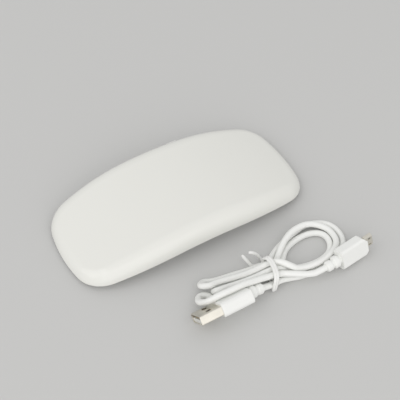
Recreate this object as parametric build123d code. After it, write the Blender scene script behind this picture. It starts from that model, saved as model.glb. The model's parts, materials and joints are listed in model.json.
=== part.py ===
"""Mini UV LED nail lamp: an arched slab on two fold-out legs, with its detached charging cable.

Millimetres, +Z up.  The origin is the bottom centre of the lamp, +X runs along its length
and +Y points to the side that has the button and the charging socket.
"""
from build123d import *
import math
import os

# Lamp body
LENGTH = 133.0
WIDTH = 64.4
HEIGHT = 18.5
END_TOP = 5.0
RIM_MIDDLE = 8.5
RIM_END = 1.0
WALL = 1.8
SHOULDER_FILLET = 8.0
RIM_FILLET = 0.4
SIDE_RADIUS = 200.0
SIDE_TURN = 9.7
CORNER_RADIUS = 17.5
END_RADIUS = 80.0

# Bottom cover and the tray that holds the light unit
FIT = 0.15
COVER_LIFT = 0.4
COVER_WALL = 1.4
TRAY_BOTTOM = 5.2
TRAY_LENGTH = 88.0
TRAY_WIDTH = 34.0
TRAY_WALL = 1.5
TRAY_FLOOR = 1.0
TRAY_LIP = 5.5
TRAY_CORNER = 3.0
POST_DIAMETER = 4.0
POST_INSET = 3.3
POST_HEIGHT = 2.4

# Light unit
REFLECTOR_THICKNESS = 0.6
REFLECTOR_HOLE = 7.0
LED_BOARD_THICKNESS = 1.0
LED_COLUMNS = 3
LED_ROWS = 2
LED_PITCH_X = 26.0
LED_PITCH_Y = 13.0
LED_BASE = 5.0
LED_BASE_HEIGHT = 1.0
LENS_DIAMETER = 4.4
LENS_HEIGHT = 1.9

# Screws: shank, head and the clearance round the shank
COVER_SCREW_X = 36.0
COVER_SCREW_Y = 24.0
COVER_SCREW = 2.0
COVER_SCREW_HEAD = 3.6
COVER_SCREW_HEAD_HEIGHT = 1.2
COVER_SCREW_GRIP = 3.0
BOSS_DIAMETER = 5.4
BOARD_SCREW = 1.4
BOARD_SCREW_HEAD = 2.6
BOARD_SCREW_HEAD_HEIGHT = 0.8
SCREW_CLEARANCE = 0.15
THREAD_FIT = 0.02

# Control board, hung from the top shell
BOARD_LENGTH = 36.0
BOARD_WIDTH = 16.9
BOARD_THICKNESS = 0.8
BOARD_CENTRE_X = 2.0
BOARD_EDGE_GAP = 0.3
BOARD_SCREW_INSET = 2.6
SOCKET_X = -6.0
SOCKET_WIDTH = 7.5
SOCKET_HEIGHT = 2.45
SOCKET_DEPTH = 5.6
SOCKET_RECESS = 0.8
SOCKET_WALL = 0.3
SOCKET_CLEARANCE = 0.3
SOCKET_COVER_GAP = 0.3
TONGUE_WIDTH = 4.4
TONGUE_THICKNESS = 0.8
SWITCH_WIDTH = 4.0
SWITCH_DEPTH = 3.2
SWITCH_HEIGHT = 1.8
SWITCH_STEM = 0.6
WIRE_DIAMETER = 1.1
WIRE_GAP = 2.0

# Push button in the back wall
BUTTON_X = 13.5
BUTTON_WIDTH = 8.0
BUTTON_HEIGHT = 3.4
BUTTON_CLEARANCE = 0.25
BUTTON_TRAVEL = 0.4
BUTTON_RISE = 0.55
BUTTON_FLANGE = 1.6
BUTTON_FLANGE_HEIGHT = 2.6
BUTTON_FLANGE_DEPTH = 0.8
BUTTON_TAB_GAP = 0.1

# Fold-out legs and their hinge pins
HINGE_X = 52.0
HINGE_Z = 2.3
LEG_REACH = 42.0
LEG_WIDTH = 44.0
LEG_ARM = 6.0
LEG_BAR = 7.0
LEG_THICKNESS = 2.8
LEG_CORNER = 6.0
LEG_NOTCH_RADIUS = 9.0
LEG_NOTCH_DEPTH = 1.4
LUG_THICKNESS = 2.2
LUG_RADIUS = 2.0
LUG_GAP = 0.2
PIN_DIAMETER = 1.6
PIN_RUNNING_FIT = 0.05

# Rubber feet
FOOT_X = 57.0
FOOT_Y = 9.0
FOOT_DIAMETER = 5.0
FOOT_HEIGHT = 1.6
FOOT_RECESS = 0.6
FOOT_BOSS = 7.0

# Charging cable
CORD_DIAMETER = 3.2
CORD_GAP = 0.54
RUN_SHARE = 0.45
FOLD_SHARE = 0.49
RELIEF_DIAMETERS = (6.2, 5.4)
RELIEF_RING = 3.0
RELIEF_NECK = 1.0
RELIEF_END = 0.3
RELIEF_BEVEL = 0.5
RELIEF_CORE = 4.4

USB_FACE = (-16.7, -67.75, 6.9)
USB_ROLL = -46.0
USB_SHELL = (11.5, 12.0, 4.5)
USB_SHELL_WALL = 0.3
USB_WINDOW = (2.4, 2.2)
USB_WINDOW_X = 5.4
USB_WINDOW_Y = 2.7
USB_INSERT_THICKNESS = 1.9
USB_CONTACT = (7.5, 1.1, 0.15)
USB_CONTACT_PITCH = 2.3
USB_GRIP = (16.5, 14.5, 7.0)
USB_GRIP_FILLET = 2.0

MICRO_REAR = (49.8, -72.7, 5.7)
MICRO_YAW = 6.0
MICRO_ROLL = 248.0
MICRO_GRIP = (16.5, 10.5, 6.4)
MICRO_GRIP_FILLET = 1.4
MICRO_NOSE = 2.4
MICRO_SHELL = (5.0, 6.85, 1.8)
MICRO_SHELL_WALL = 0.25
MICRO_SHELL_BEVEL = 0.9
MICRO_LATCH = (1.6, 0.8)
MICRO_LATCH_Y = 1.7
MICRO_INSERT_THICKNESS = 0.7

TIE_WIDTH = 3.4
TIE_THICKNESS = 0.8
TIE_GAP = 0.45
TIE_LIFT = 0.1
TIE_TAIL_DIAMETER = 1.7

CORD_RADIUS = CORD_DIAMETER / 2
CORD_PITCH = CORD_DIAMETER + CORD_GAP
LAYER_STEP = CORD_PITCH * math.sin(math.radians(60))

# Worked out from the sizes above
TOP_RADIUS = (LENGTH ** 2 / 4 + (HEIGHT - END_TOP) ** 2) / (2 * (HEIGHT - END_TOP))
RIM_RADIUS = (LENGTH ** 2 / 4 + (RIM_MIDDLE - RIM_END) ** 2) / (2 * (RIM_MIDDLE - RIM_END))
TRAY_FLOOR_TOP = TRAY_BOTTOM + TRAY_FLOOR
LED_BOARD_Z = TRAY_FLOOR_TOP + POST_HEIGHT
POST_X = TRAY_LENGTH / 2 - TRAY_WALL - POST_INSET
POST_Y = TRAY_WIDTH / 2 - TRAY_WALL - POST_INSET
COVER_TOP = RIM_MIDDLE + COVER_LIFT + COVER_WALL
BOARD_Z = COVER_TOP + SOCKET_COVER_GAP + SOCKET_HEIGHT
BUTTON_Z = BOARD_Z - BUTTON_HEIGHT / 2 + BUTTON_RISE
LEG_OUTER_Y = LEG_WIDTH / 2
LEG_INNER_Y = LEG_OUTER_Y - LEG_ARM


def top_height(x, drop=0.0):
    """Height of the arched top at x, or of the surface that lies drop under it."""
    return HEIGHT - TOP_RADIUS + math.sqrt((TOP_RADIUS - drop) ** 2 - x * x)


def rim_height(x, lift=0.0):
    """Height of the arched lower rim at x, or of the surface that lies lift over it."""
    return RIM_MIDDLE - RIM_RADIUS + math.sqrt((RIM_RADIUS + lift) ** 2 - x * x)


def back_wall_y(x, z):
    """Y of the inner face of the back wall, which leans inward above the shoulder's centre."""
    rise = max(z - (top_height(x) - SHOULDER_FILLET), 0.0)
    return WIDTH / 2 - SHOULDER_FILLET + math.sqrt((SHOULDER_FILLET - WALL) ** 2 - rise ** 2)


def button_levels():
    """Y of the back of the button's tabs, and of the nub that reaches to the switch."""
    tab_end = BUTTON_X + BUTTON_WIDTH / 2 + BUTTON_FLANGE
    wall = back_wall_y(tab_end, BUTTON_Z + BUTTON_FLANGE_HEIGHT / 2)
    flange_back = wall - BUTTON_TAB_GAP - BUTTON_FLANGE_DEPTH
    return flange_back, flange_back - BUTTON_CLEARANCE - BUTTON_TRAVEL


BOARD_BACK_Y = button_levels()[0] - BUTTON_TRAVEL - BOARD_EDGE_GAP
BOARD_CENTRE_Y = BOARD_BACK_Y - BOARD_WIDTH / 2


def block(x, y, z):
    """A box from three pairs of limits."""
    size = (x[1] - x[0], y[1] - y[0], z[1] - z[0])
    return Pos((x[0] + x[1]) / 2, (y[0] + y[1]) / 2, (z[0] + z[1]) / 2) * Box(*size)


def rod(x, y, z, diameter):
    """An upright cylinder between two heights."""
    return Pos(x, y, (z[0] + z[1]) / 2) * Cylinder(diameter / 2, z[1] - z[0])


def four(x, y):
    """The same place in each quarter of the plan."""
    return [(sx * x, sy * y) for sx in (-1, 1) for sy in (-1, 1)]


def node(*solids):
    """Separate solids of one piece or of a set of alike pieces."""
    return Compound(children=[part for shape in solids for part in shape.solids()])


def plan_outline(inset):
    """Plan of the body, moved inward: straight sides, then three tangent arcs to each end."""
    turn = math.radians(SIDE_TURN)
    side_y = WIDTH / 2 - SIDE_RADIUS
    corner_y = side_y + (SIDE_RADIUS - CORNER_RADIUS) * math.cos(turn)
    end_x = LENGTH / 2 - END_RADIUS
    corner_x = end_x + math.sqrt((END_RADIUS - CORNER_RADIUS) ** 2 - corner_y ** 2)
    side_x = corner_x - (SIDE_RADIUS - CORNER_RADIUS) * math.sin(turn)
    end_turn = math.atan2(corner_y, corner_x - end_x)
    arcs = [
        ((side_x, side_y), SIDE_RADIUS - inset, math.pi / 2, math.pi / 2 - turn),
        ((corner_x, corner_y), CORNER_RADIUS - inset, math.pi / 2 - turn, end_turn),
        ((end_x, 0.0), END_RADIUS - inset, end_turn, -end_turn),
    ]

    def points(centre, radius, first, last):
        angles = (first, (first + last) / 2, last)
        return [(centre[0] + radius * math.cos(a), centre[1] + radius * math.sin(a)) for a in angles]

    upper = [points(*arc) for arc in arcs]
    lower = [[(x, -y) for x, y in reversed(arc)] for arc in reversed(upper[:2])]
    right = upper + lower
    left = [[(-x, -y) for x, y in arc] for arc in right]
    edges = [ThreePointArc(*arc) for arc in right + left]
    edges.append(Line(left[-1][-1], right[0][0]))
    edges.append(Line(right[-1][-1], left[0][0]))
    return make_face(edges)


def under_arch(centre_z, radius):
    """All that lies below an arc across the length."""
    return extrude(Plane.XZ * (Pos(0, centre_z) * Circle(radius)), amount=WIDTH, both=True)


def body_form(inset):
    """Form of the body under its arched top, moved inward, with rounded shoulders and no floor."""
    form = Pos(0, 0, -SHOULDER_FILLET) * extrude(plan_outline(inset), HEIGHT + SHOULDER_FILLET)
    form &= under_arch(HEIGHT - TOP_RADIUS, TOP_RADIUS - inset)
    return fillet(form.faces().sort_by(Axis.Z)[-1].edges(), SHOULDER_FILLET - inset)


def body_slab():
    """Outer form of the body, cut off along the rim's arch."""
    slab = body_form(0.0) - under_arch(RIM_MIDDLE - RIM_RADIUS, RIM_RADIUS)
    return fillet(slab.faces().sort_by(Axis.Z)[0].outer_wire().edges(), RIM_FILLET)


def pill(width, height, depth):
    """A flat-sided round-ended plug with its length along X and its depth along +Y."""
    face = Plane.XZ * SlotOverall(width, height)
    return extrude(face, amount=-depth)


def cover_screw_levels(x):
    """Heights of the pocket floor and of the pad top at a cover screw."""
    floor = rim_height(abs(x), COVER_LIFT) + COVER_SCREW_HEAD_HEIGHT + 0.15
    return floor, floor + COVER_WALL


def board_screw_places():
    """Screw places of the control board."""
    half_x = BOARD_LENGTH / 2 - BOARD_SCREW_INSET
    half_y = BOARD_WIDTH / 2 - BOARD_SCREW_INSET
    return [(BOARD_CENTRE_X + x, BOARD_CENTRE_Y + y) for x, y in four(half_x, half_y)]


def top_shell():
    """Arched shell with the port, the button hole, four screw bosses and four board posts."""
    shell = body_slab() - body_form(WALL)
    for x, y in four(COVER_SCREW_X, COVER_SCREW_Y):
        pad_top = cover_screw_levels(x)[1]
        roof = top_height(abs(x), WALL / 2)
        shell += rod(x, y, (pad_top, roof), BOSS_DIAMETER)
        shell -= rod(x, y, (pad_top, pad_top + COVER_SCREW_GRIP + 0.2), COVER_SCREW + 2 * THREAD_FIT)
    for x, y in board_screw_places():
        roof = top_height(abs(x), WALL / 2)
        shell += rod(x, y, (BOARD_Z + BOARD_THICKNESS, roof), POST_DIAMETER)
        shell -= rod(x, y, (BOARD_Z, roof - 0.1), BOARD_SCREW + 2 * THREAD_FIT)
    port = Box(SOCKET_WIDTH + 2 * SOCKET_CLEARANCE, 3 * WALL, SOCKET_HEIGHT + 2 * SOCKET_CLEARANCE)
    port = fillet(port.edges().filter_by(Axis.Y), 0.8)
    shell -= Pos(SOCKET_X, WIDTH / 2, BOARD_Z - SOCKET_HEIGHT / 2) * port
    hole = pill(BUTTON_WIDTH + 2 * BUTTON_CLEARANCE, BUTTON_HEIGHT + 2 * BUTTON_CLEARANCE, 3 * WALL)
    return shell - Pos(BUTTON_X, button_levels()[0], BUTTON_Z) * hole


def tray_shape(length, width, corner, z):
    """A round-cornered block of the tray, centred on the lamp."""
    return Pos(0, 0, z[0]) * extrude(RectangleRounded(length, width, corner), z[1] - z[0])


def hinge_lug_places():
    """Lower Y of each of the eight hinge lugs, with the sign of its end."""
    inner = LEG_INNER_Y - LUG_GAP - LUG_THICKNESS
    outer = LEG_OUTER_Y + LUG_GAP
    lows = (inner, outer, -inner - LUG_THICKNESS, -outer - LUG_THICKNESS)
    return [(end, low) for end in (-1, 1) for low in lows]


def hinge_lug(end, low):
    """One lug: a round eye at the pin, widening up into the cover."""
    x = end * HINGE_X
    roof = rim_height(HINGE_X - LUG_RADIUS, COVER_LIFT + COVER_WALL / 2)
    face = Pos(x, HINGE_Z) * Circle(LUG_RADIUS)
    face += Pos(x, (HINGE_Z + roof) / 2) * Rectangle(2 * LUG_RADIUS, roof - HINGE_Z)
    lug = extrude(Plane.XZ.offset(-low) * face, amount=-LUG_THICKNESS)
    pin_hole = Plane.XZ.offset(-low) * (Pos(x, HINGE_Z) * Circle(PIN_DIAMETER / 2 + THREAD_FIT))
    return lug - extrude(pin_hole, amount=-LUG_THICKNESS)


def bottom_cover():
    """Arched cover with the tray, posts, screw pads, hinge lugs and cups for the feet."""
    bottom_z = RIM_MIDDLE - RIM_RADIUS
    beneath_top = under_arch(bottom_z, RIM_RADIUS + COVER_LIFT + COVER_WALL)
    cover = body_form(WALL + FIT) & (beneath_top - under_arch(bottom_z, RIM_RADIUS + COVER_LIFT))
    cover += tray_shape(TRAY_LENGTH, TRAY_WIDTH, TRAY_CORNER, (TRAY_BOTTOM, HEIGHT)) & beneath_top
    for x, y in four(COVER_SCREW_X, COVER_SCREW_Y):
        floor, pad_top = cover_screw_levels(x)
        cover += rod(x, y, (floor - COVER_WALL / 2, pad_top), BOSS_DIAMETER)
    for x, y in four(FOOT_X, FOOT_Y):
        cover += rod(x, y, (FOOT_HEIGHT - FOOT_RECESS, rim_height(x, COVER_LIFT + COVER_WALL / 2)), FOOT_BOSS)
    for end, low in hinge_lug_places():
        cover += hinge_lug(end, low)
    pocket_corner = TRAY_CORNER - TRAY_WALL
    pocket = (TRAY_LENGTH - 2 * TRAY_WALL, TRAY_WIDTH - 2 * TRAY_WALL, pocket_corner)
    cover -= tray_shape(*pocket, (TRAY_FLOOR_TOP, HEIGHT))
    window = (pocket[0] - 2 * TRAY_LIP, pocket[1] - 2 * TRAY_LIP / 1.5, TRAY_CORNER)
    cover -= tray_shape(*window, (TRAY_BOTTOM - 1, HEIGHT))
    for x, y in four(POST_X, POST_Y):
        cover += rod(x, y, (TRAY_FLOOR_TOP - TRAY_FLOOR / 2, LED_BOARD_Z), POST_DIAMETER)
        cover -= rod(x, y, (TRAY_FLOOR_TOP - TRAY_FLOOR / 2, LED_BOARD_Z), BOARD_SCREW + 2 * THREAD_FIT)
    for x, y in four(COVER_SCREW_X, COVER_SCREW_Y):
        floor, pad_top = cover_screw_levels(x)
        cover -= rod(x, y, (0, floor), COVER_SCREW_HEAD + 2 * SCREW_CLEARANCE)
        cover -= rod(x, y, (0, pad_top), COVER_SCREW + 2 * SCREW_CLEARANCE)
    for x, y in four(FOOT_X, FOOT_Y):
        cover -= rod(x, y, (0, FOOT_HEIGHT), FOOT_DIAMETER + 2 * THREAD_FIT)
    return cover


def led_places():
    """Centres of the light-emitting diodes."""
    return [((column - (LED_COLUMNS - 1) / 2) * LED_PITCH_X, (row - (LED_ROWS - 1) / 2) * LED_PITCH_Y)
            for column in range(LED_COLUMNS) for row in range(LED_ROWS)]


def reflector_plate():
    """Bright plate round the lenses, threaded over the four posts."""
    size = (TRAY_LENGTH - 2 * TRAY_WALL - 2 * FIT, TRAY_WIDTH - 2 * TRAY_WALL - 2 * FIT)
    corner = TRAY_CORNER - TRAY_WALL
    levels = (TRAY_FLOOR_TOP, TRAY_FLOOR_TOP + REFLECTOR_THICKNESS)
    plate = tray_shape(*size, corner, levels)
    for x, y in four(POST_X, POST_Y):
        plate -= rod(x, y, levels, POST_DIAMETER + 2 * FIT)
    for x, y in led_places():
        hole = Cone(REFLECTOR_HOLE / 2, REFLECTOR_HOLE / 2 - REFLECTOR_THICKNESS, REFLECTOR_THICKNESS)
        plate -= Pos(x, y, sum(levels) / 2) * hole
    return plate


def led_board():
    """Aluminium board that carries the diodes on its underside."""
    size = (TRAY_LENGTH - 2 * TRAY_WALL - 4 * FIT, TRAY_WIDTH - 2 * TRAY_WALL - 4 * FIT)
    levels = (LED_BOARD_Z, LED_BOARD_Z + LED_BOARD_THICKNESS)
    board = tray_shape(*size, TRAY_CORNER - TRAY_WALL, levels)
    for x, y in four(POST_X, POST_Y):
        board -= rod(x, y, levels, BOARD_SCREW + 2 * SCREW_CLEARANCE)
    return board


def uv_leds():
    """Square diode packages under the board."""
    size = LED_BASE / 2
    levels = (LED_BOARD_Z - LED_BASE_HEIGHT, LED_BOARD_Z)
    return node(*[block((x - size, x + size), (y - size, y + size), levels) for x, y in led_places()])


def led_lenses():
    """Domed lens of each diode, pointing down."""
    top = LED_BOARD_Z - LED_BASE_HEIGHT
    radius = LENS_DIAMETER / 2
    crown = (radius ** 2 + LENS_HEIGHT ** 2) / (2 * LENS_HEIGHT)
    cap = Pos(0, 0, crown - LENS_HEIGHT) * Sphere(crown)
    dome = cap & block((-radius, radius), (-radius, radius), (-LENS_HEIGHT, 0))
    return node(*[Pos(x, y, top) * dome for x, y in led_places()])


def screw(x, y, seat, shank, head, head_height, length, direction):
    """A pan-head screw with its shank going up or down from the seat, and a cross slot."""
    body = rod(x, y, sorted((seat, seat + direction * length)), shank)
    body += rod(x, y, sorted((seat, seat - direction * head_height)), head)
    slot_z = seat - direction * head_height
    for turn in (0, 90):
        body -= Pos(x, y, slot_z) * Rot(0, 0, turn) * Box(head * 0.6, head * 0.16, head_height * 0.9)
    return body


def cover_screws():
    """Four screws that hold the cover to the bosses of the top shell."""
    made = []
    for x, y in four(COVER_SCREW_X, COVER_SCREW_Y):
        floor, pad_top = cover_screw_levels(x)
        length = pad_top - floor + COVER_SCREW_GRIP
        made.append(screw(x, y, floor, COVER_SCREW, COVER_SCREW_HEAD, COVER_SCREW_HEAD_HEIGHT, length, 1))
    return node(*made)


def board_screw(x, y, seat, length, direction):
    """One of the small screws that hold a board."""
    return screw(x, y, seat, BOARD_SCREW, BOARD_SCREW_HEAD, BOARD_SCREW_HEAD_HEIGHT, length, direction)


def led_board_screws():
    """Four screws from above into the tray posts."""
    seat = LED_BOARD_Z + LED_BOARD_THICKNESS
    length = LED_BOARD_THICKNESS + POST_HEIGHT - 0.2
    return node(*[board_screw(x, y, seat, length, -1) for x, y in four(POST_X, POST_Y)])


def control_board_screws():
    """Four screws from below into the posts of the top shell."""
    made = []
    for x, y in board_screw_places():
        length = top_height(abs(x), WALL / 2) - 0.2 - BOARD_Z
        made.append(board_screw(x, y, BOARD_Z, length, 1))
    return node(*made)


def control_board():
    """Board with the socket and the switch on its underside."""
    half_x, half_y = BOARD_LENGTH / 2, BOARD_WIDTH / 2
    levels = (BOARD_Z, BOARD_Z + BOARD_THICKNESS)
    board = block((BOARD_CENTRE_X - half_x, BOARD_CENTRE_X + half_x),
                  (BOARD_CENTRE_Y - half_y, BOARD_CENTRE_Y + half_y), levels)
    board = fillet(board.edges().filter_by(Axis.Z), 1.0)
    for x, y in board_screw_places():
        board -= rod(x, y, levels, BOARD_SCREW + 2 * SCREW_CLEARANCE)
    return board


def socket_section(width, height):
    """Mouth of the socket: a box with its two lower corners cut."""
    cut = height * 0.35
    half = width / 2
    points = [(-half, height / 2), (half, height / 2), (half, -height / 2 + cut),
              (half - cut, -height / 2), (-half + cut, -height / 2), (-half, -height / 2 + cut)]
    return Plane.XZ * make_face(Polyline(*points, close=True))


def micro_usb_socket():
    """Metal shell of the charging socket, open toward +Y."""
    front = WIDTH / 2 - SOCKET_RECESS
    shell = extrude(socket_section(SOCKET_WIDTH, SOCKET_HEIGHT), amount=-SOCKET_DEPTH)
    bore = socket_section(SOCKET_WIDTH - 2 * SOCKET_WALL, SOCKET_HEIGHT - 2 * SOCKET_WALL)
    shell -= Pos(0, SOCKET_WALL, 0) * extrude(bore, amount=-SOCKET_DEPTH)
    return Pos(SOCKET_X, front - SOCKET_DEPTH, BOARD_Z - SOCKET_HEIGHT / 2) * shell


def socket_tongue():
    """Plastic contact tongue inside the socket, seated on its back wall."""
    front = WIDTH / 2 - SOCKET_RECESS
    y = (front - SOCKET_DEPTH + SOCKET_WALL, front - 1.2)
    half, middle = TONGUE_WIDTH / 2, BOARD_Z - SOCKET_HEIGHT / 2
    return block((SOCKET_X - half, SOCKET_X + half), y,
                 (middle - TONGUE_THICKNESS / 2, middle + TONGUE_THICKNESS / 2))


def power_button():
    """Push button: face, side tabs that keep it in the wall, and a nub for the switch."""
    flange_back, nub_back = button_levels()
    cap = Pos(0, flange_back, 0) * pill(BUTTON_WIDTH, BUTTON_HEIGHT, WIDTH / 2 - flange_back)
    cap = fillet(cap.faces().sort_by(Axis.Y)[-1].edges(), 0.4)
    tabs = pill(BUTTON_WIDTH + 2 * BUTTON_FLANGE, BUTTON_FLANGE_HEIGHT, BUTTON_FLANGE_DEPTH)
    nub = block((-1.0, 1.0), (nub_back, flange_back), (-0.5, 0.5))
    return Pos(BUTTON_X, 0, BUTTON_Z) * (cap + Pos(0, flange_back, 0) * tabs + nub)


def tact_switch():
    """Side-push switch under the board, with its stem toward the button."""
    stem_front = button_levels()[1] - BUTTON_TRAVEL - 0.05
    body_front = stem_front - SWITCH_STEM
    body = block((BUTTON_X - SWITCH_WIDTH / 2, BUTTON_X + SWITCH_WIDTH / 2),
                 (body_front - SWITCH_DEPTH, body_front), (BOARD_Z - SWITCH_HEIGHT, BOARD_Z))
    stem = block((BUTTON_X - 0.8, BUTTON_X + 0.8), (body_front, stem_front), (BUTTON_Z - 0.4, BUTTON_Z + 0.4))
    return body + stem


def board_components():
    """Parts soldered under the control board: timer chip, coil, capacitors and resistors."""
    def chip(x, y, size):
        return block((x - size[0] / 2, x + size[0] / 2), (y - size[1] / 2, y + size[1] / 2),
                     (BOARD_Z - size[2], BOARD_Z))

    made = [chip(2.0, 17.0, (5.0, 4.0, 1.1)), chip(9.5, 17.0, (4.0, 4.0, 1.5))]
    made += [chip(-9.0 + 4 * i, 21.5, (1.6, 3.0, 1.2)) for i in range(2)]
    made += [chip(1.0 + 2.2 * i, 23.0, (0.9, 1.7, 0.5)) for i in range(3)]
    return node(*made)


def tube(points, diameter):
    """A round tube along straight runs, each corner an arc as large as its runs allow."""
    path, radii = rounded_path(points)
    section = Plane(origin=path @ 0, z_dir=path % 0) * Circle(diameter / 2)
    return sweep(section, path=path), radii


def rounded_path(points):
    """The path of a tube, with the radius of each of its arcs; folds take all of their runs."""
    vectors = [Vector(*p) for p in points]
    radii = []
    for before, here, after in zip(vectors, vectors[1:], vectors[2:]):
        turn = math.radians((here - before).get_angle(after - here))
        run = min((here - before).length, (after - here).length)
        share = FOLD_SHARE if turn > math.radians(75) else RUN_SHARE
        radii.append(share * run / math.tan(turn / 2))
    return FilletPolyline(*vectors, radius=radii), radii


def led_wires():
    """Two short wires from the light board up to the control board."""
    start_y = POST_Y - POST_INSET
    end_y = BOARD_CENTRE_Y - BOARD_WIDTH / 2 + WIRE_DIAMETER + 1
    low, high = LED_BOARD_Z + LED_BOARD_THICKNESS, BOARD_Z
    middle = (low + high) / 2
    wires = []
    for side in (-1, 1):
        x = SOCKET_X - 2 + side * WIRE_GAP / 2
        route = [(x, start_y, low), (x, start_y, middle), (x, end_y, middle + 0.2), (x, end_y, high)]
        wires.append(tube(route, WIRE_DIAMETER)[0])
    return node(*wires)


def leg(end):
    """U-shaped leg, folded flat under the arch, with its two eyes on the hinge axis."""
    outline = Pos(HINGE_X - LEG_REACH / 2, 0) * Rectangle(LEG_REACH, LEG_WIDTH)
    free_corners = outline.vertices().sort_by(Axis.X)[:2]
    outline = fillet(free_corners, LEG_CORNER)
    gap_length = LEG_REACH - LEG_BAR + LEG_THICKNESS
    gap = Pos(HINGE_X - LEG_REACH + LEG_BAR + gap_length / 2, 0) * Rectangle(gap_length, LEG_WIDTH - 2 * LEG_ARM)
    gap = fillet(gap.vertices().sort_by(Axis.X)[:2], LEG_CORNER / 2)
    notch_x = HINGE_X - LEG_REACH + LEG_NOTCH_DEPTH - LEG_NOTCH_RADIUS
    outline -= Pos(notch_x, 0) * Circle(LEG_NOTCH_RADIUS)
    frame = Pos(0, 0, HINGE_Z - LEG_THICKNESS / 2) * extrude(outline - gap, LEG_THICKNESS)
    for side in (-1, 1):
        low = LEG_INNER_Y if side > 0 else -LEG_OUTER_Y
        eye = Plane.XZ.offset(-low) * (Pos(HINGE_X, HINGE_Z) * Circle(LEG_THICKNESS / 2))
        frame += extrude(eye, amount=-LEG_ARM)
    bore = Plane.XZ * (Pos(HINGE_X, HINGE_Z) * Circle(PIN_DIAMETER / 2 + PIN_RUNNING_FIT))
    frame -= extrude(bore, amount=LEG_WIDTH, both=True)
    return frame if end > 0 else mirror(frame, Plane.YZ)


def hinge_pins():
    """Four pins, each through two lugs and the leg's eye between them."""
    inner = LEG_INNER_Y - LUG_GAP - LUG_THICKNESS
    length = LEG_ARM + 2 * LUG_GAP + 2 * LUG_THICKNESS
    pins = []
    for x, side in four(HINGE_X, 1):
        y = inner if side > 0 else -inner - length
        circle = Plane.XZ.offset(-y) * (Pos(x, HINGE_Z) * Circle(PIN_DIAMETER / 2))
        pins.append(extrude(circle, amount=-length))
    return node(*pins)


def rubber_feet():
    """Four round feet glued into their cups."""
    feet = []
    for x, y in four(FOOT_X, FOOT_Y):
        foot = rod(x, y, (0, FOOT_HEIGHT), FOOT_DIAMETER)
        feet.append(chamfer(foot.edges().sort_by(Axis.Z)[:1], 0.3))
    return node(*feet)


def usb_place(shape):
    """Puts a piece of the large plug, drawn with its tip toward -X, where the plug lies."""
    return Location(USB_FACE) * Rot(USB_ROLL, 0, 0) * shape


def usb_a_shell():
    """Folded metal shell of the large plug with two windows in each wide face."""
    length, width, height = USB_SHELL
    shell = block((-length, 0), (-width / 2, width / 2), (-height / 2, height / 2))
    shell = fillet(shell.edges().filter_by(Axis.X), 0.5)
    inner_y, inner_z = width / 2 - USB_SHELL_WALL, height / 2 - USB_SHELL_WALL
    shell -= block((-length, -USB_SHELL_WALL), (-inner_y, inner_y), (-inner_z, inner_z))
    for side in (-1, 1):
        y = side * USB_WINDOW_Y
        shell -= Pos(-USB_WINDOW_X, y, 0) * Box(*USB_WINDOW, height + 1)
    return usb_place(shell)


def usb_insert_levels():
    """Lower and upper face of the large plug's insert, measured from the plug's middle."""
    low = -USB_SHELL[2] / 2 + USB_SHELL_WALL
    return low, low + USB_INSERT_THICKNESS


def usb_a_insert():
    """Plastic insert lying on one wide wall inside the shell."""
    half = USB_SHELL[1] / 2 - USB_SHELL_WALL - 0.02
    return usb_place(block((-USB_SHELL[0] + 0.6, -USB_SHELL_WALL), (-half, half), usb_insert_levels()))


def usb_a_contacts():
    """Four contact strips on the insert."""
    length, width, thickness = USB_CONTACT
    top = usb_insert_levels()[1]
    strips = []
    for i in range(4):
        y = (i - 1.5) * USB_CONTACT_PITCH
        x = -USB_SHELL[0] + 1.4
        strips.append(block((x, x + length), (y - width / 2, y + width / 2), (top, top + thickness)))
    return usb_place(node(*strips))


def usb_a_grip():
    """Moulded grip of the large plug."""
    length, width, height = USB_GRIP
    grip = block((0, length), (-width / 2, width / 2), (-height / 2, height / 2))
    grip = fillet(grip.edges().filter_by(Axis.X), USB_GRIP_FILLET)
    return usb_place(fillet(grip.faces().filter_by(Axis.X).edges(), USB_GRIP_FILLET / 4))


def relief(start, heading, end_heading):
    """Ribbed strain relief on a bent axis: a core with two rings, and its end point."""
    length = 2 * (RELIEF_NECK + RELIEF_RING) + RELIEF_END
    turn = math.radians(heading.get_angle(end_heading))
    chord = (heading.normalized() + end_heading.normalized()).normalized()
    end = start + chord * (length * math.sin(turn / 2) / (turn / 2))
    path = TangentArc(start, end, tangent=heading)
    made = sweep(Plane(origin=start, z_dir=heading) * Circle(RELIEF_CORE / 2), path=path)
    for i, diameter in enumerate(RELIEF_DIAMETERS):
        first = (RELIEF_NECK + i * (RELIEF_NECK + RELIEF_RING)) / length
        stretch = path.edge().trim(first, first + RELIEF_RING / length)
        ring = sweep(Plane(origin=stretch @ 0, z_dir=stretch % 0) * Circle(diameter / 2), path=stretch)
        made += chamfer(ring.faces().filter_by(GeomType.PLANE).edges(), RELIEF_BEVEL)
    return made, end, path % 1


def usb_relief():
    """Strain relief behind the large grip, bending down to the bundle."""
    start = Vector(*USB_FACE) + Vector(USB_GRIP[0], 0, 0)
    return relief(start, Vector(1, 0, 0), Vector(1, 0.05, -0.36))


def micro_axis():
    """Direction in which the small plug points."""
    yaw = math.radians(MICRO_YAW)
    return Vector(math.cos(yaw), math.sin(yaw), 0)


def micro_relief():
    """Strain relief behind the small grip, bending round to the bundle."""
    return relief(Vector(*MICRO_REAR), micro_axis() * -1, Vector(-1, -0.02, -0.06))


def micro_place(shape):
    """Puts a piece of the small plug, drawn with its tip toward +X, rolled with its latches forward."""
    return Location(MICRO_REAR) * Rot(0, 0, MICRO_YAW) * Rot(MICRO_ROLL, 0, 0) * shape


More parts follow.
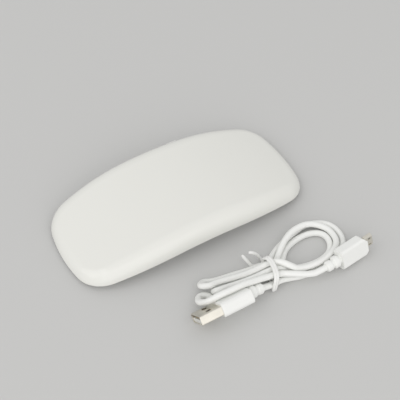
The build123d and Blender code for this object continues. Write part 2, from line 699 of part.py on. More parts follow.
def micro_usb_grip():
    """Moulded grip of the small plug, its wide corners cut off at the nose."""
    length, width, height = MICRO_GRIP
    half = width / 2
    nose = length - MICRO_NOSE
    points = [(0, -half), (nose, -half), (length, -half + MICRO_NOSE), (length, half - MICRO_NOSE),
              (nose, half), (0, half)]
    grip = Pos(0, 0, -height / 2) * extrude(make_face(Polyline(*points, close=True)), height)
    long_edges = grip.edges().filter_by(Axis.X)
    return micro_place(fillet(long_edges, MICRO_GRIP_FILLET))


def micro_shell_section(width, height, bevel):
    """Section of the small metal shell: two corners cut."""
    half, top = width / 2, height / 2
    points = [(-half, top), (half, top), (half, top - (height - bevel)), (half - bevel, -top),
              (-half + bevel, -top), (-half, top - (height - bevel))]
    return make_face(Polyline(*points, close=True))


def micro_usb_shell():
    """Metal tip of the small plug with its two latch windows."""
    length, width, height = MICRO_SHELL
    face = Plane.YZ * micro_shell_section(width, height, MICRO_SHELL_BEVEL)
    shell = extrude(face, length)
    wall = MICRO_SHELL_WALL
    bore = Plane.YZ.offset(wall) * micro_shell_section(width - 2 * wall, height - 2 * wall, MICRO_SHELL_BEVEL - wall)
    shell -= extrude(bore, length)
    for side in (-1, 1):
        shell -= Pos(length * 0.62, side * MICRO_LATCH_Y, -height / 2) * Box(*MICRO_LATCH, height)
    return micro_place(Pos(MICRO_GRIP[0], 0, 0) * shell)


def micro_usb_insert():
    """Contact block inside the small metal tip."""
    length, width, height = MICRO_SHELL
    top = height / 2 - MICRO_SHELL_WALL
    half = width / 2 - MICRO_SHELL_WALL - MICRO_SHELL_BEVEL
    insert = block((MICRO_SHELL_WALL, length - 0.4), (-half, half), (top - MICRO_INSERT_THICKNESS, top))
    return micro_place(Pos(MICRO_GRIP[0], 0, 0) * insert)


# Route of the cord.  The waist is the tied middle of the hank; its strands lie in two layers.
# The wide lobe is to the right of the tie, the folded lobe to the left.
WAIST_X = 19.5
WAIST_BACK_Y = -55.6
WAIST_LOW = TIE_LIFT + TIE_THICKNESS + TIE_GAP + CORD_RADIUS
WAIST_HIGH = WAIST_LOW + LAYER_STEP
TABLE_LEVEL = CORD_RADIUS
UPPER_LEVEL = CORD_RADIUS + CORD_PITCH

# Where each turn leaves the waist over the others, and where it comes back under them
LEAVING = [[(25.0, -67.9, 2.1)],
           [(23.4, -58.8, 7.5), (26.6, -61.6, 8.3)],
           [(23.0, -62.8, 6.4)]]
RETURNING = [(24.8, -51.8, 1.7), (24.8, -56.5, 3.0), (24.8, -61.2, 1.7)]

# Middle line of the wide lobe, from the waist round and back to it
LOBE = [(30.0, -67.3), (41.0, -68.9), (51.0, -67.0), (56.6, -60.8),
        (56.4, -53.0), (49.8, -48.0), (40.5, -47.9), (31.0, -51.0)]

# For each turn: how far outside the middle line it lies, and its height, at those places
LOBE_TURNS = [
    [(2.0, TABLE_LEVEL), (2.0, TABLE_LEVEL), (1.5, TABLE_LEVEL), (5.4, TABLE_LEVEL),
     (6.5, TABLE_LEVEL), (4.6, TABLE_LEVEL), (2.0, TABLE_LEVEL), (2.3, TABLE_LEVEL)],
    [(-1.6, 7.2), (-1.4, UPPER_LEVEL), (0.3, 5.6), (0.8, 3.5),
     (2.0, 2.6), (2.2, 5.2), (2.2, UPPER_LEVEL), (0.4, UPPER_LEVEL)],
    [(-1.8, 2.8), (-1.9, TABLE_LEVEL), (-2.4, TABLE_LEVEL), (-3.5, TABLE_LEVEL),
     (-3.0, TABLE_LEVEL), (-2.7, TABLE_LEVEL), (-2.1, TABLE_LEVEL), (-2.5, TABLE_LEVEL)],
]

# Folds of the left lobe: place and rise of the tip, and Y of its lower and upper run half way
FOLD_MIDDLE_X = 3.0
FOLDS = [((-16.0, -51.6, 5.6), -52.5, -53.0),
         ((-10.5, -55.6, 5.6), -56.5, -57.0),
         ((-21.5, -59.3, 6.6), -60.2, -60.7)]
LAST_TURN = [(23.6, -68.0, 6.9), (33.6, -72.8, 4.8)]
FIRST_BEND = (15.2, -67.3, 3.1)

# The tie sits a little left of the waist.  Its corners go round four strands, each given by layer
# and index, with the way that strand swings outward there; its loose ends stand up behind
TIE_X = WAIST_X - 1.2
TIE_CORNERS = [(0, 0, 0.6), (0, 3, -0.25), (1, 2, -0.55), (1, 0, 0.5)]
TIE_TAILS = [[(17.4, -52.5, 3.2), (16.6, -50.7, 2.9), (12.4, -50.4, 3.8), (8.9, -48.3, 8.0)],
             [(18.8, -52.5, 3.8), (18.6, -50.6, 4.6), (16.2, -49.4, 7.0), (12.6, -48.4, 8.4)]]


def offset_lobe(offsets):
    """Points of one turn of the wide lobe."""
    line = [(WAIST_X, -62.0)] + LOBE + [(WAIST_X, -60.0)]
    points = []
    for i, (outside, z) in enumerate(offsets, start=1):
        dx = line[i + 1][0] - line[i - 1][0]
        dy = line[i + 1][1] - line[i - 1][1]
        size = math.hypot(dx, dy)
        points.append((line[i][0] + outside * dy / size, line[i][1] - outside * dx / size, z))
    return points


def fold(tip, low_y, high_y):
    """Points of one fold of the left lobe: out below, up round the tip and back on top."""
    x, y, rise = tip
    low = TABLE_LEVEL
    middle_rise = (WAIST_HIGH + low + rise) / 2
    return [(FOLD_MIDDLE_X, low_y, low), (x, y, low), (x, y, low + rise), (FOLD_MIDDLE_X, high_y, middle_rise)]


def waist(layer, index):
    """Place of a strand in the tied waist: layer 0 lies below, and index counts from the back."""
    z = (WAIST_LOW, WAIST_HIGH)[layer]
    return (WAIST_X, WAIST_BACK_Y - (index + layer / 2) * CORD_PITCH, z)


def cord_route():
    """Points of the cord from the large plug to the small one, with the two ends of the hank."""
    usb_end, usb_heading = usb_relief()[1:]
    micro_end, micro_heading = micro_relief()[1:]
    first = usb_end + usb_heading * CORD_DIAMETER
    last = micro_end + micro_heading * CORD_DIAMETER
    route = [tuple(usb_end), tuple(first), FIRST_BEND, waist(0, 3), *LEAVING[0]]
    hank_start = len(route)
    for turn, (offsets, bend) in enumerate(zip(LOBE_TURNS, FOLDS)):
        if turn:
            route += LEAVING[turn]
        route += offset_lobe(offsets)
        route += [RETURNING[turn], waist(0, turn), *fold(*bend), waist(1, turn)]
    route.append(LAST_TURN[0])
    hank_end = len(route)
    route += [LAST_TURN[1], tuple(last), tuple(micro_end)]
    return route, hank_start, hank_end


def halfway(a, b):
    """Point half way between two points of the route."""
    return tuple((p + q) / 2 for p, q in zip(a, b))


def cord_nodes():
    """The free end at the large plug, the hank, and the free end at the small plug."""
    route, start, end = cord_route()
    first_cut = halfway(route[start - 1], route[start])
    last_cut = halfway(route[end - 1], route[end])
    stretches = {
        "cord_usb_end": route[:start] + [first_cut],
        "cord_hank": [first_cut] + route[start:end] + [last_cut],
        "cord_micro_end": [last_cut] + route[end:],
    }
    solids = {}
    for name, points in stretches.items():
        solids[name], radii = tube(points, CORD_DIAMETER)
        print(name, "radii", [round(r, 1) for r in radii])
    print_hank_gap(stretches["cord_hank"])
    return solids


def print_hank_gap(points):
    """Prints the hank's least gap to itself, measured on points along its path."""
    path = rounded_path(points)[0]
    count = int(path.length)
    places = [path @ (i / count) for i in range(count + 1)]
    near_end = int(4 * CORD_DIAMETER)
    gaps = [(places[i] - places[j]).length for i in range(count + 1) for j in range(i + near_end, count + 1)]
    print("cord_hank length", round(path.length, 1), "least gap", round(min(gaps) - CORD_DIAMETER, 2))


def twist_tie():
    """Band round the waist of the hank, with its two loose ends."""
    corners = []
    for layer, index, swing in TIE_CORNERS:
        y, z = waist(layer, index)[1:]
        corners.append((y + swing, z))
    bundle = make_face(Polyline(*corners, close=True))
    inner = offset(bundle, CORD_RADIUS + TIE_GAP, kind=Kind.ARC)
    outer = offset(bundle, CORD_RADIUS + TIE_GAP + TIE_THICKNESS, kind=Kind.ARC)
    band = extrude(Plane.YZ.offset(TIE_X - TIE_WIDTH / 2) * (outer - inner), TIE_WIDTH)
    for tail in TIE_TAILS:
        band += tube(tail, TIE_TAIL_DIAMETER)[0]
    return band


def main():
    """Builds every node and writes each to its own file."""
    nodes = {
        "top_shell": top_shell(),
        "bottom_cover": bottom_cover(),
        "reflector_plate": reflector_plate(),
        "led_board": led_board(),
        "uv_leds": uv_leds(),
        "led_lenses": led_lenses(),
        "led_board_screws": led_board_screws(),
        "control_board": control_board(),
        "control_board_screws": control_board_screws(),
        "board_components": board_components(),
        "micro_usb_socket": micro_usb_socket(),
        "socket_tongue": socket_tongue(),
        "tact_switch": tact_switch(),
        "led_wires": led_wires(),
        "power_button": power_button(),
        "cover_screws": cover_screws(),
        "left_leg": leg(-1),
        "right_leg": leg(1),
        "hinge_pins": hinge_pins(),
        "rubber_feet": rubber_feet(),
        "usb_a_shell": usb_a_shell(),
        "usb_a_insert": usb_a_insert(),
        "usb_a_contacts": usb_a_contacts(),
        "usb_a_grip": usb_a_grip(),
        "usb_a_strain_relief": usb_relief()[0],
        "micro_usb_shell": micro_usb_shell(),
        "micro_usb_insert": micro_usb_insert(),
        "micro_usb_grip": micro_usb_grip(),
        "micro_usb_strain_relief": micro_relief()[0],
        "twist_tie": twist_tie(),
    }
    nodes.update(cord_nodes())
    os.makedirs("parts", exist_ok=True)
    for name, shape in nodes.items():
        export_step(shape, f"parts/{name}.step")


main()
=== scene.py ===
"""Looks of the arched nail lamp and its tied charging cable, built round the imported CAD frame."""
import json
import math

import bpy
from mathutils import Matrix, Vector

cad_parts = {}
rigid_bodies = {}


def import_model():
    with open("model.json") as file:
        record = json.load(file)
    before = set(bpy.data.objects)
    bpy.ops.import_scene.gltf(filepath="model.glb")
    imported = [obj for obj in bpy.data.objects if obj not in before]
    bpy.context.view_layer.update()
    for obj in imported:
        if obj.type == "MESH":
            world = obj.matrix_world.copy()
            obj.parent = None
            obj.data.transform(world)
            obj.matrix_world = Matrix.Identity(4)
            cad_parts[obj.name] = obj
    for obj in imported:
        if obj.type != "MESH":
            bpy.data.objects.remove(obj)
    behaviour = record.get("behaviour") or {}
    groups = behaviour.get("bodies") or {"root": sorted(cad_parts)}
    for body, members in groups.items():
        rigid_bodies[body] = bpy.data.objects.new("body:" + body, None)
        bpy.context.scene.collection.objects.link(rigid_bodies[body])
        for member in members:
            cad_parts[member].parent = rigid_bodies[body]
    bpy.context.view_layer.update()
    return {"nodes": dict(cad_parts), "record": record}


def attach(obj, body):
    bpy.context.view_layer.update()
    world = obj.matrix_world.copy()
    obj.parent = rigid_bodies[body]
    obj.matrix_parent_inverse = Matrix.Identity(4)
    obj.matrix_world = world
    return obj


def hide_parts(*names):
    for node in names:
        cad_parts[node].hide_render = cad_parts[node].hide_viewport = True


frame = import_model()
NODES = frame["nodes"]
MM = 0.001

# Sizes shared with the CAD source, in millimetres and degrees
CORD_DIAMETER = 3.2
CORD_RADIUS = CORD_DIAMETER / 2
STRAND_GAP = 0.54
CORD_PITCH = CORD_DIAMETER + STRAND_GAP
NESTING_ANGLE = 60
LAYER_STEP = CORD_PITCH * math.sin(math.radians(NESTING_ANGLE))
USB_FACE = (-16.7, -67.75, 6.9)
USB_GRIP_LENGTH = 16.5
MICRO_REAR = (49.8, -72.7, 5.7)
MICRO_YAW = 6.0
RELIEF_LENGTH = 8.3

# Heights of a strand's middle, for one on the table and one on top of another
TABLE = CORD_RADIUS
UPPER = CORD_RADIUS + CORD_PITCH


def metres(points):
    """Points given in millimetres, in metres."""
    return [Vector(point) * MM for point in points]


def deselect():
    """Leaves nothing selected, so that an operator acts on the new piece only."""
    for other in bpy.data.objects:
        other.select_set(False)


def name_new(name):
    """Names the object that the last operator added, and its data."""
    piece = bpy.context.object
    piece.name = name
    piece.data.name = name
    return piece


# Camera, lamps and floor

# Places and sizes are in metres, the lens and the sensor in millimetres
CAMERA_PLACE = (-0.1288, -0.2430, 0.3358)
CAMERA_AIM = (0.01246, -0.00136, 0.0)
SENSOR_WIDTH = 36.0
LENS = 74.4
NEAREST_SEEN = 0.01
FURTHEST_SEEN = 20.0

SKY_COLOUR = (1.0, 1.0, 1.0, 1.0)
SKY_STRENGTH = 0.71
# Name, place, point that it looks at, size, watts and colour of each lamp
LAMPS = [
    ("front_softbox", (-0.9, -2.1, 1.3), (0, 0, 0), 3.4, 25.0, (1.0, 0.985, 0.985)),
    ("left_softbox", (-1.9, 0.2, 1.6), (0, 0, 0), 2.0, 10.5, (1.0, 0.985, 0.98)),
    ("plug_card", (0.42, -0.95, 0.66), (0, -0.06, 0), 0.5, 0.35, (1.0, 0.985, 0.955)),
]

FLOOR_SIZE = 6.0
FLOOR_TONE = (0.60, 0.60, 0.59, 1.0)
FLOOR_ROUGHNESS = 0.9


def towards(place, aim):
    """Rotation that makes a camera or a lamp at a place look at a point."""
    return (Vector(aim) - Vector(place)).to_track_quat("-Z", "Y").to_euler()


def place_camera():
    """Camera at the photograph's angle and distance, looking at the middle of the set."""
    deselect()
    bpy.ops.object.camera_add(location=CAMERA_PLACE)
    camera = name_new("photo_camera")
    camera.data.sensor_width = SENSOR_WIDTH
    camera.data.lens = LENS
    camera.data.clip_start = NEAREST_SEEN
    camera.data.clip_end = FURTHEST_SEEN
    camera.rotation_euler = towards(CAMERA_PLACE, CAMERA_AIM)
    bpy.context.scene.camera = camera


def area_lamp(name, place, aim, size, watts, colour):
    """A soft square lamp that looks at a point."""
    deselect()
    bpy.ops.object.light_add(type="AREA", location=place)
    lamp = name_new(name)
    lamp.data.shape = "SQUARE"
    lamp.data.size = size
    lamp.data.energy = watts
    lamp.data.color = colour
    lamp.rotation_euler = towards(place, aim)


def light_the_studio():
    """Even sky, a broad soft lamp behind the camera, a weaker one on the left and a card for the plugs."""
    world = bpy.data.worlds.new("studio_sky")
    world.use_nodes = True
    sky = world.node_tree.nodes["Background"]
    sky.inputs["Color"].default_value = SKY_COLOUR
    sky.inputs["Strength"].default_value = SKY_STRENGTH
    bpy.context.scene.world = world
    for lamp in LAMPS:
        area_lamp(*lamp)


def lay_floor():
    """Plain pale floor, seen from above only."""
    deselect()
    bpy.ops.mesh.primitive_plane_add(size=FLOOR_SIZE, location=(0, 0, 0))
    floor = name_new("studio_floor")
    material = bpy.data.materials.new("floor_paper")
    material.use_nodes = True
    nodes, links = material.node_tree.nodes, material.node_tree.links
    paper = nodes["Principled BSDF"]
    paper.inputs["Base Color"].default_value = FLOOR_TONE
    paper.inputs["Roughness"].default_value = FLOOR_ROUGHNESS
    clear = nodes.new("ShaderNodeBsdfTransparent")
    side = nodes.new("ShaderNodeNewGeometry")
    mix = nodes.new("ShaderNodeMixShader")
    links.new(side.outputs["Backfacing"], mix.inputs["Fac"])
    links.new(paper.outputs["BSDF"], mix.inputs[1])
    links.new(clear.outputs["BSDF"], mix.inputs[2])
    links.new(mix.outputs["Shader"], nodes["Material Output"].inputs["Surface"])
    floor.data.materials.append(material)


# Cord, with all its points in millimetres

# The waist is where the tie holds the strands, in a lower and an upper layer
WAIST_X = 19.5
WAIST_BACK_Y = -55.6
WAIST_LOW = 2.95
WAIST_HIGH = WAIST_LOW + LAYER_STEP

# Directions in which the cord leaves the two strain reliefs
USB_LEAVES = (1, 0.05, -0.36)
MICRO_LEAVES = (-1, -0.02, -0.06)

# Between the large plug and the waist, and between the waist and the small plug
FIRST_BEND = (15.2, -67.3, 3.1)
LAST_TURN = [(23.6, -68.0, 6.9), (33.6, -72.8, 4.8)]

# Right of the waist, each turn leaves for the wide lobe and returns from it
LEAVING = [[(25.0, -67.9, 2.1)],
           [(22.3, -60.8, 9.5), (25.6, -65.4, 9.0)],
           [(23.0, -63.2, 6.1)]]
RETURNING = [(24.8, -51.8, 1.7), (24.8, -55.8, 3.6), (24.8, -59.5, 1.7)]

# Middle line of the wide lobe, and how far outside it and how high each turn passes its points
LOBE = [(30.0, -67.3), (41.0, -68.9), (51.0, -67.0), (56.6, -60.8),
        (56.4, -53.0), (49.8, -48.0), (40.5, -47.9), (31.0, -51.0)]
LOBE_FROM = (WAIST_X, -62.0)
LOBE_TO = (WAIST_X, -60.0)
LOBE_TURNS = [
    [(2.0, TABLE), (2.0, TABLE), (1.5, TABLE), (5.4, TABLE),
     (6.5, TABLE), (4.6, TABLE), (2.0, TABLE), (2.3, TABLE)],
    [(0.3, 5.3), (0.2, 4.7), (0.0, 4.8), (1.2, 3.1),
     (2.2, 2.5), (2.2, 5.2), (2.2, UPPER), (0.4, UPPER)],
    [(-2.3, 2.5), (-2.1, TABLE), (-2.0, TABLE), (-2.2, TABLE),
     (-1.5, TABLE), (-1.6, TABLE), (-1.4, TABLE), (-1.1, TABLE)],
]

# Folds left of the waist: out below, round the tip and back on top of the next run
FOLDS = [
    [(9.0, -53.7, 2.1), (-1.0, -51.5, TABLE), (-9.0, -50.3, TABLE), (-13.4, -47.9, 1.7),
     (-16.9, -50.7, 4.3), (-13.9, -54.6, 6.9), (-9.0, -53.9, 5.6), (-1.0, -55.5, 5.2),
     (8.0, -57.5, 5.9)],
    [(9.0, -57.0, 2.1), (-1.0, -55.0, TABLE), (-5.6, -54.8, TABLE), (-9.8, -54.5, TABLE),
     (-12.9, -57.0, 4.2), (-10.6, -59.1, 7.2), (-5.4, -58.9, 5.6), (0.0, -59.7, 5.3),
     (8.0, -61.0, 5.9)],
    [(9.0, -60.5, 2.1), (-1.0, -58.6, TABLE), (-9.0, -59.3, TABLE), (-13.6, -59.7, TABLE),
     (-15.5, -55.0, 1.65), (-19.8, -54.4, 1.9), (-22.1, -59.0, 4.6), (-19.2, -63.2, 9.0),
     (-14.0, -63.8, 11.0), (-8.0, -64.4, 11.5), (0.0, -64.6, 11.4), (9.0, -64.7, 8.9)],
]

CURVE_SECTION_STEPS = 4


def relief_axis(start, heading, end_heading):
    """End point and end direction of a strain relief that bends from one direction to another."""
    heading, end_heading = Vector(heading).normalized(), Vector(end_heading).normalized()
    half_turn = heading.angle(end_heading) / 2
    chord = (heading + end_heading).normalized()
    end = Vector(start) + chord * (RELIEF_LENGTH * math.sin(half_turn) / half_turn)
    return {"end": end, "end_heading": end_heading}


def micro_heading():
    """Direction in which the small plug points."""
    yaw = math.radians(MICRO_YAW)
    return Vector((math.cos(yaw), math.sin(yaw), 0.0))


USB_RELIEF = relief_axis(Vector(USB_FACE) + Vector((USB_GRIP_LENGTH, 0, 0)), (1, 0, 0), USB_LEAVES)
MICRO_RELIEF = relief_axis(MICRO_REAR, micro_heading() * -1, MICRO_LEAVES)


def lobe_turn(offsets):
    """Points of one turn of the wide lobe, each at its distance outside the middle line."""
    line = [LOBE_FROM, *LOBE, LOBE_TO]
    points = []
    for before, (x, y), after, (outside, z) in zip(line, LOBE, line[2:], offsets):
        along = (Vector(after) - Vector(before)).normalized()
        points.append((x + outside * along.y, y - outside * along.x, z))
    return points


def waist(layer, index):
    """Place of a strand in the waist, by its layer and its number from the back."""
    return (WAIST_X, WAIST_BACK_Y - (index + layer / 2) * CORD_PITCH, (WAIST_LOW, WAIST_HIGH)[layer])


def cord_points():
    """Route of the whole cord in metres, from the large plug's relief to the small one's."""
    first = USB_RELIEF["end"] + USB_RELIEF["end_heading"] * CORD_DIAMETER
    last = MICRO_RELIEF["end"] + MICRO_RELIEF["end_heading"] * CORD_DIAMETER
    route = [USB_RELIEF["end"], first, FIRST_BEND, waist(0, 3), *LEAVING[0]]
    for turn, (offsets, fold) in enumerate(zip(LOBE_TURNS, FOLDS)):
        if turn:
            route += LEAVING[turn]
        route += lobe_turn(offsets)
        route += [RETURNING[turn], waist(0, turn), *fold, waist(1, turn)]
    route += [*LAST_TURN, last, MICRO_RELIEF["end"]]
    return metres(route)


def round_curve(name, points, diameter, resolution=10):
    """A smooth round cord drawn by its control points, which are in metres."""
    data = bpy.data.curves.new(name, "CURVE")
    data.dimensions = "3D"
    spline = data.splines.new("NURBS")
    spline.points.add(len(points) - 1)
    for control, point in zip(spline.points, points):
        control.co = (*point, 1.0)
    spline.order_u = 3
    spline.use_endpoint_u = True
    spline.resolution_u = resolution
    data.bevel_depth = diameter * MM / 2
    data.bevel_resolution = CURVE_SECTION_STEPS
    data.use_fill_caps = True
    piece = bpy.data.objects.new(name, data)
    bpy.context.scene.collection.objects.link(piece)
    return piece


# Tie, with all its points in millimetres

TIE_WIRE = 1.7
TIE_X = 18.3
TIE_TURNS = 2
# How far its turns together take the wire along X
TIE_ADVANCE = 2.275

# Middle of the wire round the bundle: how far left it leans, Y, Z and the share of its full thickness
TIE_TURN = [(0.0, -52.55, 3.5, 1.0), (0.0, -52.55, 0.8, 0.75), (0.0, -57.5, 0.6, 0.58),
            (1.8, -64.6, 0.6, 0.58), (4.0, -69.4, 0.8, 0.75), (4.2, -69.7, 3.5, 1.0),
            (2.2, -68.1, 9.3, 1.0), (0.6, -63.2, 9.6, 1.0), (0.0, -59.0, 9.6, 1.0),
            (0.0, -55.4, 8.8, 1.0)]
# X, Y, Z and the share of the full thickness along the two loose ends
TIE_STRAIGHT_TAIL = [(8.8, -48.4, 8.7, 0.55), (9.0, -48.6, 8.2, 1.0), (10.8, -50.3, 4.6, 1.0),
                     (12.6, -52.1, 0.9, 1.0), (15.4, -52.5, 0.85, 1.0)]
TIE_CURVED_TAIL = [(19.3, -51.9, 0.95, 0.95), (18.9, -49.9, 0.95, 0.95), (17.2, -49.2, 4.4, 1.0),
                   (14.8, -48.7, 7.2, 1.0), (13.0, -48.3, 8.1, 1.0), (12.7, -48.2, 8.2, 0.55)]


def wound_tie():
    """Coated wire: a straight tail, twice round the bundle, and a curved tail."""
    points = list(TIE_STRAIGHT_TAIL)
    steps = TIE_TURNS * len(TIE_TURN)
    for i in range(1, steps + 1):
        lean, y, z, share = TIE_TURN[i % len(TIE_TURN)]
        points.append((TIE_X + (i / steps - 0.5) * TIE_ADVANCE - lean, y, z, share))
    points += TIE_CURVED_TAIL
    tie = round_curve("wound_tie", metres([point[:3] for point in points]), TIE_WIRE, resolution=12)
    for control, point in zip(tie.data.splines[0].points, points):
        control.radius = point[3]
    deselect()
    tie.select_set(True)
    bpy.context.view_layer.objects.active = tie
    bpy.ops.object.convert(target="MESH")
    return tie


place_camera()
cord = round_curve("charging_cord", cord_points(), CORD_DIAMETER)


# Shared effects of the finishes

# Noise scales are per metre, and bump heights are in metres
DRIFT_SCALE = 22.0
DRIFT_DETAIL = 3.0
SKIN_ROUGHNESS_DRIFT = 0.12
GRAIN_HEIGHT = 0.0002
METAL_LINES = (120.0, 5000.0, 5000.0)
METAL_DRIFT_SCALE = 240.0
METAL_DARKEST = 0.86
METAL_BRIGHTEST = 1.08
METAL_ROUGHNESS_DRIFT = 0.15
LINE_HEIGHT = 0.00005


def add_node(group, kind, output, inputs, **settings):
    """Adds a node, sets or links its inputs and returns one of its outputs."""
    node = group.nodes.new(kind)
    for key, value in settings.items():
        setattr(node, key, value)
    for key, value in inputs.items():
        if isinstance(value, bpy.types.NodeSocket):
            group.links.new(value, node.inputs[key])
        else:
            node.inputs[key].default_value = value
    return node.outputs[output]


def add_math(group, operation, *values):
    """Adds a math node that works on numbers or on other nodes' outputs."""
    return add_node(group, "ShaderNodeMath", "Value", dict(enumerate(values)), operation=operation)


def effect_group(name, inputs):
    """An empty effect: a tone and named numbers go in, and tone, roughness and normal come out."""
    group = bpy.data.node_groups.new(name, "ShaderNodeTree")
    group.interface.new_socket(name="Tone", in_out="INPUT", socket_type="NodeSocketColor")
    for label, value in inputs.items():
        made = group.interface.new_socket(name=label, in_out="INPUT", socket_type="NodeSocketFloat")
        made.default_value = value
    for label, kind in (("Tone Out", "Color"), ("Roughness", "Float"), ("Normal", "Vector")):
        group.interface.new_socket(name=label, in_out="OUTPUT", socket_type="NodeSocket" + kind)
    return group


def finish_effect(group, tone, level, roughness, height, depth, distance):
    """Ends an effect: the tone times its level, the roughness, and the height as a bump."""
    put = group.nodes.new("NodeGroupOutput")
    scaled = add_node(group, "ShaderNodeVectorMath", "Vector", {0: tone, "Scale": level}, operation="SCALE")
    bump = {"Strength": depth, "Distance": distance, "Height": height}
    normal = add_node(group, "ShaderNodeBump", "Normal", bump)
    group.links.new(scaled, put.inputs["Tone Out"])
    group.links.new(roughness, put.inputs["Roughness"])
    group.links.new(normal, put.inputs["Normal"])


def moulded_skin_group():
    """Moulded plastic: slow drift of tone and roughness, with a fine grain as a bump."""
    group = effect_group("moulded_skin", {"Drift": 0.02, "Mean Roughness": 0.3,
                                          "Grain Scale": 1500.0, "Grain Depth": 0.05})
    given = group.nodes.new("NodeGroupInput").outputs
    place = group.nodes.new("ShaderNodeTexCoord").outputs["Object"]
    slow = add_node(group, "ShaderNodeTexNoise", "Fac",
                    {"Vector": place, "Scale": DRIFT_SCALE, "Detail": DRIFT_DETAIL})
    fine = add_node(group, "ShaderNodeTexNoise", "Fac", {"Vector": place, "Scale": given["Grain Scale"]})
    centred = add_math(group, "SUBTRACT", slow, 0.5)
    shift = add_math(group, "MULTIPLY", centred, given["Drift"])
    level = add_math(group, "ADD", shift, 1.0)
    rough = add_math(group, "MULTIPLY_ADD", centred, SKIN_ROUGHNESS_DRIFT, given["Mean Roughness"])
    finish_effect(group, given["Tone"], level, rough, fine, given["Grain Depth"], GRAIN_HEIGHT)
    return group


def drawn_metal_group():
    """Drawn or rolled metal: fine lines along X, with a slow drift of tone."""
    group = effect_group("drawn_metal", {"Least Roughness": 0.3, "Line Depth": 0.1})
    given = group.nodes.new("NodeGroupInput").outputs
    place = group.nodes.new("ShaderNodeTexCoord").outputs["Object"]
    stretched = add_node(group, "ShaderNodeMapping", "Vector", {"Vector": place, "Scale": METAL_LINES})
    lines = add_node(group, "ShaderNodeTexNoise", "Fac", {"Vector": stretched, "Scale": 1.0})
    slow = add_node(group, "ShaderNodeTexNoise", "Fac", {"Vector": place, "Scale": METAL_DRIFT_SCALE})
    level = add_node(group, "ShaderNodeMapRange", "Result",
                     {"Value": slow, "To Min": METAL_DARKEST, "To Max": METAL_BRIGHTEST})
    rough = add_math(group, "MULTIPLY_ADD", lines, METAL_ROUGHNESS_DRIFT, given["Least Roughness"])
    finish_effect(group, given["Tone"], level, rough, lines, given["Line Depth"], LINE_HEIGHT)
    return group


MOULDED = moulded_skin_group()
DRAWN = drawn_metal_group()


def material_with(name, group, values, metallic):
    """A principled material whose tone, roughness and normal come from a shared effect."""
    material = bpy.data.materials.new(name)
    material.use_nodes = True
    nodes, links = material.node_tree.nodes, material.node_tree.links
    shader = nodes["Principled BSDF"]
    effect = nodes.new("ShaderNodeGroup")
    effect.node_tree = group
    for key, value in values.items():
        effect.inputs[key].default_value = value
    links.new(effect.outputs["Tone Out"], shader.inputs["Base Color"])
    links.new(effect.outputs["Roughness"], shader.inputs["Roughness"])
    links.new(effect.outputs["Normal"], shader.inputs["Normal"])
    shader.inputs["Metallic"].default_value = metallic
    return material


def plastic(name, tone, rough, drift=0.03, grain=1500.0, depth=0.05):
    """Moulded plastic of one tone."""
    values = {"Tone": (*tone, 1.0), "Drift": drift, "Mean Roughness": rough,
              "Grain Scale": grain, "Grain Depth": depth}
    return material_with(name, MOULDED, values, 0.0)


def metal(name, tone, rough, depth=0.1):
    """Bare or plated metal of one tone."""
    values = {"Tone": (*tone, 1.0), "Least Roughness": rough, "Line Depth": depth}
    return material_with(name, DRAWN, values, 1.0)


def lens_resin():
    """Clear resin of the diodes' lenses."""
    material = bpy.data.materials.new("clear_lens")
    material.use_nodes = True
    shader = material.node_tree.nodes["Principled BSDF"]
    shader.inputs["Base Color"].default_value = (0.94, 0.94, 0.98, 1.0)
    shader.inputs["Roughness"].default_value = 0.05
    shader.inputs["Transmission Weight"].default_value = 1.0
    shader.inputs["IOR"].default_value = 1.49
    return material


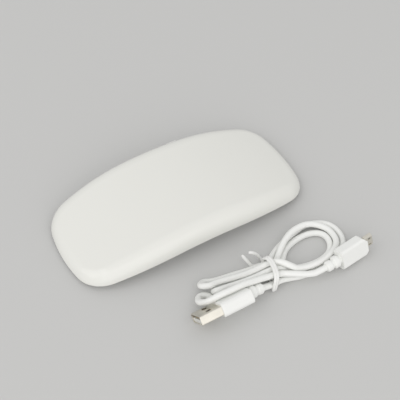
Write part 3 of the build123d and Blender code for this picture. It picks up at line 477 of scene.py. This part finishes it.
# Finish of each material slot in the record
FINISHES = {
    "shell_plastic": plastic("gloss_white_shell", (0.815, 0.815, 0.772), rough=0.15,
                             drift=0.02, grain=350.0, depth=0.02),
    "cover_plastic": plastic("satin_white_cover", (0.74, 0.74, 0.715), rough=0.36, grain=2600.0, depth=0.12),
    "leg_plastic": plastic("satin_white_leg", (0.77, 0.77, 0.745), rough=0.30, grain=2600.0, depth=0.10),
    "button_plastic": plastic("white_button", (0.76, 0.76, 0.74), rough=0.28),
    "white_board": plastic("white_solder_mask", (0.74, 0.76, 0.74), rough=0.35,
                           drift=0.04, grain=3000.0, depth=0.1),
    "led_package": plastic("diode_package", (0.75, 0.66, 0.30), rough=0.3),
    "green_board": plastic("green_solder_mask", (0.02, 0.16, 0.06), rough=0.25,
                           drift=0.2, grain=900.0, depth=0.2),
    "black_parts": plastic("black_epoxy", (0.02, 0.02, 0.022), rough=0.45),
    "foot_rubber": plastic("grey_foot_rubber", (0.22, 0.22, 0.215), rough=0.75,
                           drift=0.1, grain=3500.0, depth=0.3),
    "insert_plastic": plastic("white_insert", (0.70, 0.70, 0.67), rough=0.4),
    "cable_plastic": plastic("satin_white_cable", (0.90, 0.905, 0.88), rough=0.38, grain=2200.0, depth=0.08),
    "tie_plastic": plastic("white_tie_coating", (0.88, 0.88, 0.86), rough=0.33),
    "wire_insulation": plastic("red_wire", (0.45, 0.02, 0.02), rough=0.4),
    "reflector": metal("bright_reflector", (0.86, 0.87, 0.88), rough=0.12, depth=0.05),
    "screw_steel": metal("zinc_screw", (0.52, 0.52, 0.53), rough=0.3),
    "pin_steel": metal("ground_pin", (0.60, 0.60, 0.61), rough=0.25),
    "plug_metal": metal("nickel_plug", (0.80, 0.77, 0.69), rough=0.26, depth=0.03),
    "contact_brass": metal("gold_contact", (0.86, 0.62, 0.24), rough=0.25),
    "led_lens": lens_resin(),
}


def finish_cad_nodes():
    """Gives each CAD node its finish by the record's slots."""
    for entry in frame["record"]["subparts"]:
        piece = NODES[entry["node"]]
        piece.data.materials.clear()
        piece.data.materials.append(FINISHES[entry["material_slot"]])


finish_cad_nodes()

tie = wound_tie()
tie.data.materials.append(FINISHES["tie_plastic"])
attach(tie, "root")
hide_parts("twist_tie")

cord.data.materials.append(FINISHES["cable_plastic"])
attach(cord, "root")
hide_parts("cord_usb_end", "cord_hank", "cord_micro_end")

light_the_studio()
lay_floor()
bpy.context.scene.view_settings.view_transform = "Standard"
